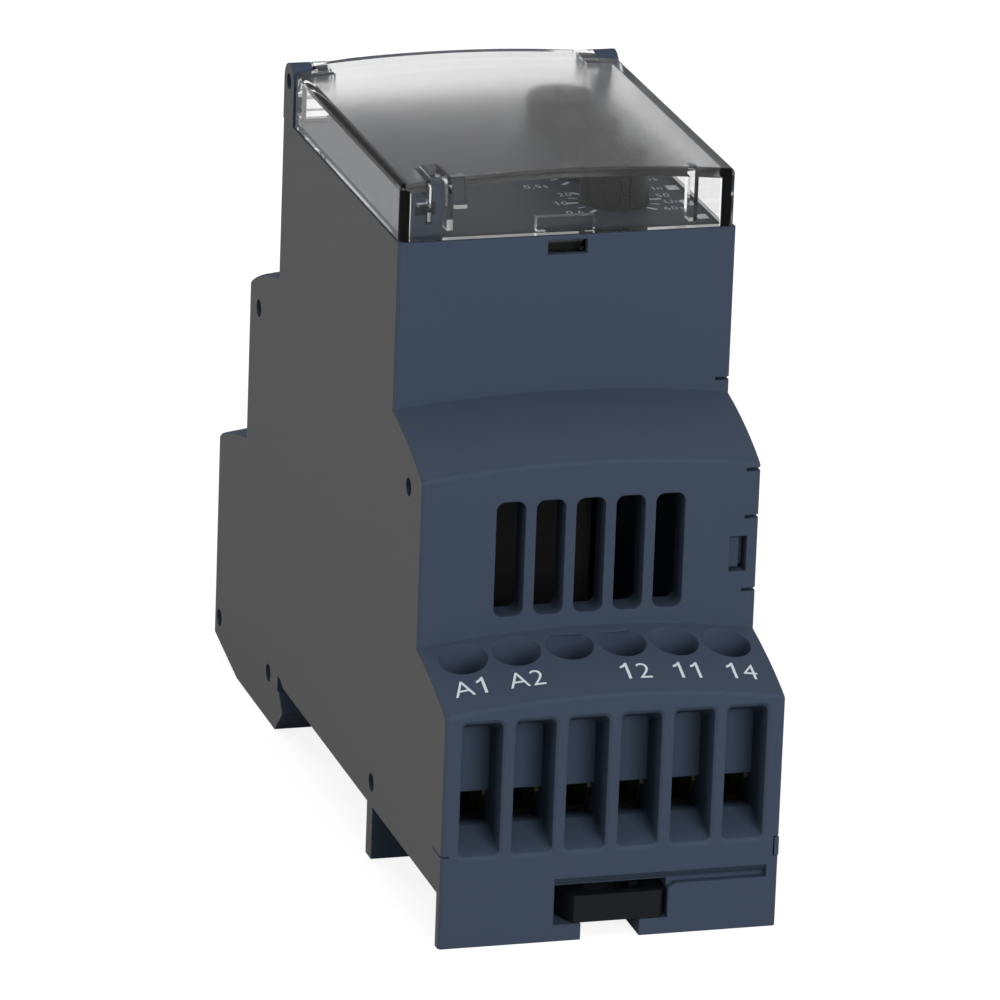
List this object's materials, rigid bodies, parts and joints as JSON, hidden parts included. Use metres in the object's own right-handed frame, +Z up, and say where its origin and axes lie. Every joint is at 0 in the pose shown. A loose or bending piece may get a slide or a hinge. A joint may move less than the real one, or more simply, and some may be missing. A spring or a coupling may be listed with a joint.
{
  "type": "voltage monitoring relay",
  "caption": "Rail-mounted voltage monitoring relay with a stepped grey housing, wire terminals at both ends, setting knobs and a clear hinged cover.",
  "frame": {"origin": "middle of the footprint, at the lowest point of the housing's feet", "axes": "+X across the width to the side cover, -Y towards the end with the rail clip, +Z up, away from the rail"},
  "size_m": [0.035, 0.09, 0.0731],
  "materials": {
    "housing_grey": "fine grain",
    "cover_clear": "clear, polished",
    "clip_black": "fine grain",
    "knob_black": "satin",
    "dial_dark": "satin",
    "guide_white": "diffusing",
    "board_green": "satin",
    "relay_plastic": "satin",
    "zinc_steel": "zinc plated",
    "spring_steel": "bright",
    "magnet_iron": "nickel plated",
    "winding_copper": "enamelled wire",
    "bar_copper": "tinned",
    "capacitor_can": "sleeved"
  },
  "bodies": {
    "case": {"housing": "housing_grey", "side_cover": "housing_grey", "dial_plate": "dial_dark", "light_guide": "guide_white", "front_board": "board_green", "power_board": "board_green", "control_board": "board_green", "control_chip": "relay_plastic", "clip_spring": "spring_steel", "near_terminal_bars": "bar_copper", "far_terminal_bars": "bar_copper", "relay_base": "relay_plastic", "relay_case": "relay_plastic", "relay_core": "magnet_iron", "relay_yoke": "magnet_iron", "relay_bobbin": "relay_plastic", "relay_winding": "winding_copper", "relay_rest_contact": "bar_copper", "relay_work_contact": "bar_copper", "transformer_core": "magnet_iron", "transformer_winding": "winding_copper", "power_capacitor": "capacitor_can", "delay_trimmer": "relay_plastic", "hysteresis_trimmer": "relay_plastic", "threshold_trimmer": "relay_plastic", "supply_lamp": "guide_white", "output_lamp": "guide_white", "fault_lamp": "guide_white"},
    "cover": {"clear_cover": "cover_clear"},
    "clip": {"rail_clip": "clip_black"},
    "armature": {"relay_armature": "magnet_iron", "relay_moving_contact": "bar_copper"},
    "delay_knob": {"delay_knob": "knob_black"},
    "hysteresis_knob": {"hysteresis_knob": "knob_black"},
    "threshold_knob": {"threshold_knob": "knob_black"},
    "near_terminal_screw_1": {"near_terminal_screw_1": "zinc_steel"},
    "near_clamp_cage_1": {"near_clamp_cage_1": "zinc_steel"},
    "near_terminal_screw_2": {"near_terminal_screw_2": "zinc_steel"},
    "near_clamp_cage_2": {"near_clamp_cage_2": "zinc_steel"},
    "near_terminal_screw_3": {"near_terminal_screw_3": "zinc_steel"},
    "near_clamp_cage_3": {"near_clamp_cage_3": "zinc_steel"},
    "near_terminal_screw_4": {"near_terminal_screw_4": "zinc_steel"},
    "near_clamp_cage_4": {"near_clamp_cage_4": "zinc_steel"},
    "near_terminal_screw_5": {"near_terminal_screw_5": "zinc_steel"},
    "near_clamp_cage_5": {"near_clamp_cage_5": "zinc_steel"},
    "near_terminal_screw_6": {"near_terminal_screw_6": "zinc_steel"},
    "near_clamp_cage_6": {"near_clamp_cage_6": "zinc_steel"},
    "far_terminal_screw_1": {"far_terminal_screw_1": "zinc_steel"},
    "far_clamp_cage_1": {"far_clamp_cage_1": "zinc_steel"},
    "far_terminal_screw_2": {"far_terminal_screw_2": "zinc_steel"},
    "far_clamp_cage_2": {"far_clamp_cage_2": "zinc_steel"},
    "far_terminal_screw_3": {"far_terminal_screw_3": "zinc_steel"},
    "far_clamp_cage_3": {"far_clamp_cage_3": "zinc_steel"},
    "far_terminal_screw_4": {"far_terminal_screw_4": "zinc_steel"},
    "far_clamp_cage_4": {"far_clamp_cage_4": "zinc_steel"},
    "far_terminal_screw_5": {"far_terminal_screw_5": "zinc_steel"},
    "far_clamp_cage_5": {"far_clamp_cage_5": "zinc_steel"},
    "far_terminal_screw_6": {"far_terminal_screw_6": "zinc_steel"},
    "far_clamp_cage_6": {"far_clamp_cage_6": "zinc_steel"}
  },
  "joints": [
    {"name": "cover_hinge", "type": "hinge", "parent": "case", "child": "cover", "pos_m": [0, 0.0206, 0.0706], "axis": [-1, 0, 0], "range_deg": [0, 105]},
    {"name": "clip_slide", "type": "slide", "parent": "case", "child": "clip", "axis": [0, -1, 0], "range_m": [0, 0.003], "stiffness_N_per_m": 1500, "springref_m": -0.001, "deforming": ["clip_spring"]},
    {"name": "relay_armature_hinge", "type": "hinge", "parent": "case", "child": "armature", "pos_m": [-0.002, 0.0048, 0.0149], "axis": [1, 0, 0], "range_deg": [0, 4.3], "stiffness_Nm_per_rad": 0.03, "springref_deg": -2.86},
    {"name": "delay_setting", "type": "hinge", "parent": "case", "child": "delay_knob", "pos_m": [0.00805, -0.0111, 0.066], "axis": [0, 0, 1], "range_deg": [-135, 135]},
    {"name": "hysteresis_setting", "type": "hinge", "parent": "case", "child": "hysteresis_knob", "pos_m": [0.00805, -0.0013, 0.066], "axis": [0, 0, 1], "range_deg": [-135, 135]},
    {"name": "threshold_setting", "type": "hinge", "parent": "case", "child": "threshold_knob", "pos_m": [0.00805, 0.0085, 0.066], "axis": [0, 0, 1], "range_deg": [-135, 135]},
    {"name": "near_screw_1_turn", "type": "hinge", "parent": "case", "child": "near_terminal_screw_1", "pos_m": [-0.01362, -0.0371, 0.0219], "axis": [0, 0, -1], "range_deg": [0, 1873]},
    {"name": "near_cage_1_lift", "type": "slide", "parent": "case", "child": "near_clamp_cage_1", "axis": [0, 0, 1], "range_m": [0, 0.0026]},
    {"name": "near_screw_2_turn", "type": "hinge", "parent": "case", "child": "near_terminal_screw_2", "pos_m": [-0.00817, -0.0371, 0.0219], "axis": [0, 0, -1], "range_deg": [0, 1873]},
    {"name": "near_cage_2_lift", "type": "slide", "parent": "case", "child": "near_clamp_cage_2", "axis": [0, 0, 1], "range_m": [0, 0.0026]},
    {"name": "near_screw_3_turn", "type": "hinge", "parent": "case", "child": "near_terminal_screw_3", "pos_m": [-0.00272, -0.0371, 0.0219], "axis": [0, 0, -1], "range_deg": [0, 1873]},
    {"name": "near_cage_3_lift", "type": "slide", "parent": "case", "child": "near_clamp_cage_3", "axis": [0, 0, 1], "range_m": [0, 0.0026]},
    {"name": "near_screw_4_turn", "type": "hinge", "parent": "case", "child": "near_terminal_screw_4", "pos_m": [0.00272, -0.0371, 0.0219], "axis": [0, 0, -1], "range_deg": [0, 1873]},
    {"name": "near_cage_4_lift", "type": "slide", "parent": "case", "child": "near_clamp_cage_4", "axis": [0, 0, 1], "range_m": [0, 0.0026]},
    {"name": "near_screw_5_turn", "type": "hinge", "parent": "case", "child": "near_terminal_screw_5", "pos_m": [0.00817, -0.0371, 0.0219], "axis": [0, 0, -1], "range_deg": [0, 1873]},
    {"name": "near_cage_5_lift", "type": "slide", "parent": "case", "child": "near_clamp_cage_5", "axis": [0, 0, 1], "range_m": [0, 0.0026]},
    {"name": "near_screw_6_turn", "type": "hinge", "parent": "case", "child": "near_terminal_screw_6", "pos_m": [0.01362, -0.0371, 0.0219], "axis": [0, 0, -1], "range_deg": [0, 1873]},
    {"name": "near_cage_6_lift", "type": "slide", "parent": "case", "child": "near_clamp_cage_6", "axis": [0, 0, 1], "range_m": [0, 0.0026]},
    {"name": "far_screw_1_turn", "type": "hinge", "parent": "case", "child": "far_terminal_screw_1", "pos_m": [-0.01362, 0.0371, 0.0219], "axis": [0, 0, -1], "range_deg": [0, 1873]},
    {"name": "far_cage_1_lift", "type": "slide", "parent": "case", "child": "far_clamp_cage_1", "axis": [0, 0, 1], "range_m": [0, 0.0026]},
    {"name": "far_screw_2_turn", "type": "hinge", "parent": "case", "child": "far_terminal_screw_2", "pos_m": [-0.00817, 0.0371, 0.0219], "axis": [0, 0, -1], "range_deg": [0, 1873]},
    {"name": "far_cage_2_lift", "type": "slide", "parent": "case", "child": "far_clamp_cage_2", "axis": [0, 0, 1], "range_m": [0, 0.0026]},
    {"name": "far_screw_3_turn", "type": "hinge", "parent": "case", "child": "far_terminal_screw_3", "pos_m": [-0.00272, 0.0371, 0.0219], "axis": [0, 0, -1], "range_deg": [0, 1873]},
    {"name": "far_cage_3_lift", "type": "slide", "parent": "case", "child": "far_clamp_cage_3", "axis": [0, 0, 1], "range_m": [0, 0.0026]},
    {"name": "far_screw_4_turn", "type": "hinge", "parent": "case", "child": "far_terminal_screw_4", "pos_m": [0.00272, 0.0371, 0.0219], "axis": [0, 0, -1], "range_deg": [0, 1873]},
    {"name": "far_cage_4_lift", "type": "slide", "parent": "case", "child": "far_clamp_cage_4", "axis": [0, 0, 1], "range_m": [0, 0.0026]},
    {"name": "far_screw_5_turn", "type": "hinge", "parent": "case", "child": "far_terminal_screw_5", "pos_m": [0.00817, 0.0371, 0.0219], "axis": [0, 0, -1], "range_deg": [0, 1873]},
    {"name": "far_cage_5_lift", "type": "slide", "parent": "case", "child": "far_clamp_cage_5", "axis": [0, 0, 1], "range_m": [0, 0.0026]},
    {"name": "far_screw_6_turn", "type": "hinge", "parent": "case", "child": "far_terminal_screw_6", "pos_m": [0.01362, 0.0371, 0.0219], "axis": [0, 0, -1], "range_deg": [0, 1873]},
    {"name": "far_cage_6_lift", "type": "slide", "parent": "case", "child": "far_clamp_cage_6", "axis": [0, 0, 1], "range_m": [0, 0.0026]}
  ],
  "couplings": [
    {"joint": "near_screw_1_turn", "follows": "near_cage_1_lift", "rad_per_m": 12566},
    {"joint": "near_screw_2_turn", "follows": "near_cage_2_lift", "rad_per_m": 12566},
    {"joint": "near_screw_3_turn", "follows": "near_cage_3_lift", "rad_per_m": 12566},
    {"joint": "near_screw_4_turn", "follows": "near_cage_4_lift", "rad_per_m": 12566},
    {"joint": "near_screw_5_turn", "follows": "near_cage_5_lift", "rad_per_m": 12566},
    {"joint": "near_screw_6_turn", "follows": "near_cage_6_lift", "rad_per_m": 12566},
    {"joint": "far_screw_1_turn", "follows": "far_cage_1_lift", "rad_per_m": 12566},
    {"joint": "far_screw_2_turn", "follows": "far_cage_2_lift", "rad_per_m": 12566},
    {"joint": "far_screw_3_turn", "follows": "far_cage_3_lift", "rad_per_m": 12566},
    {"joint": "far_screw_4_turn", "follows": "far_cage_4_lift", "rad_per_m": 12566},
    {"joint": "far_screw_5_turn", "follows": "far_cage_5_lift", "rad_per_m": 12566},
    {"joint": "far_screw_6_turn", "follows": "far_cage_6_lift", "rad_per_m": 12566}
  ]
}
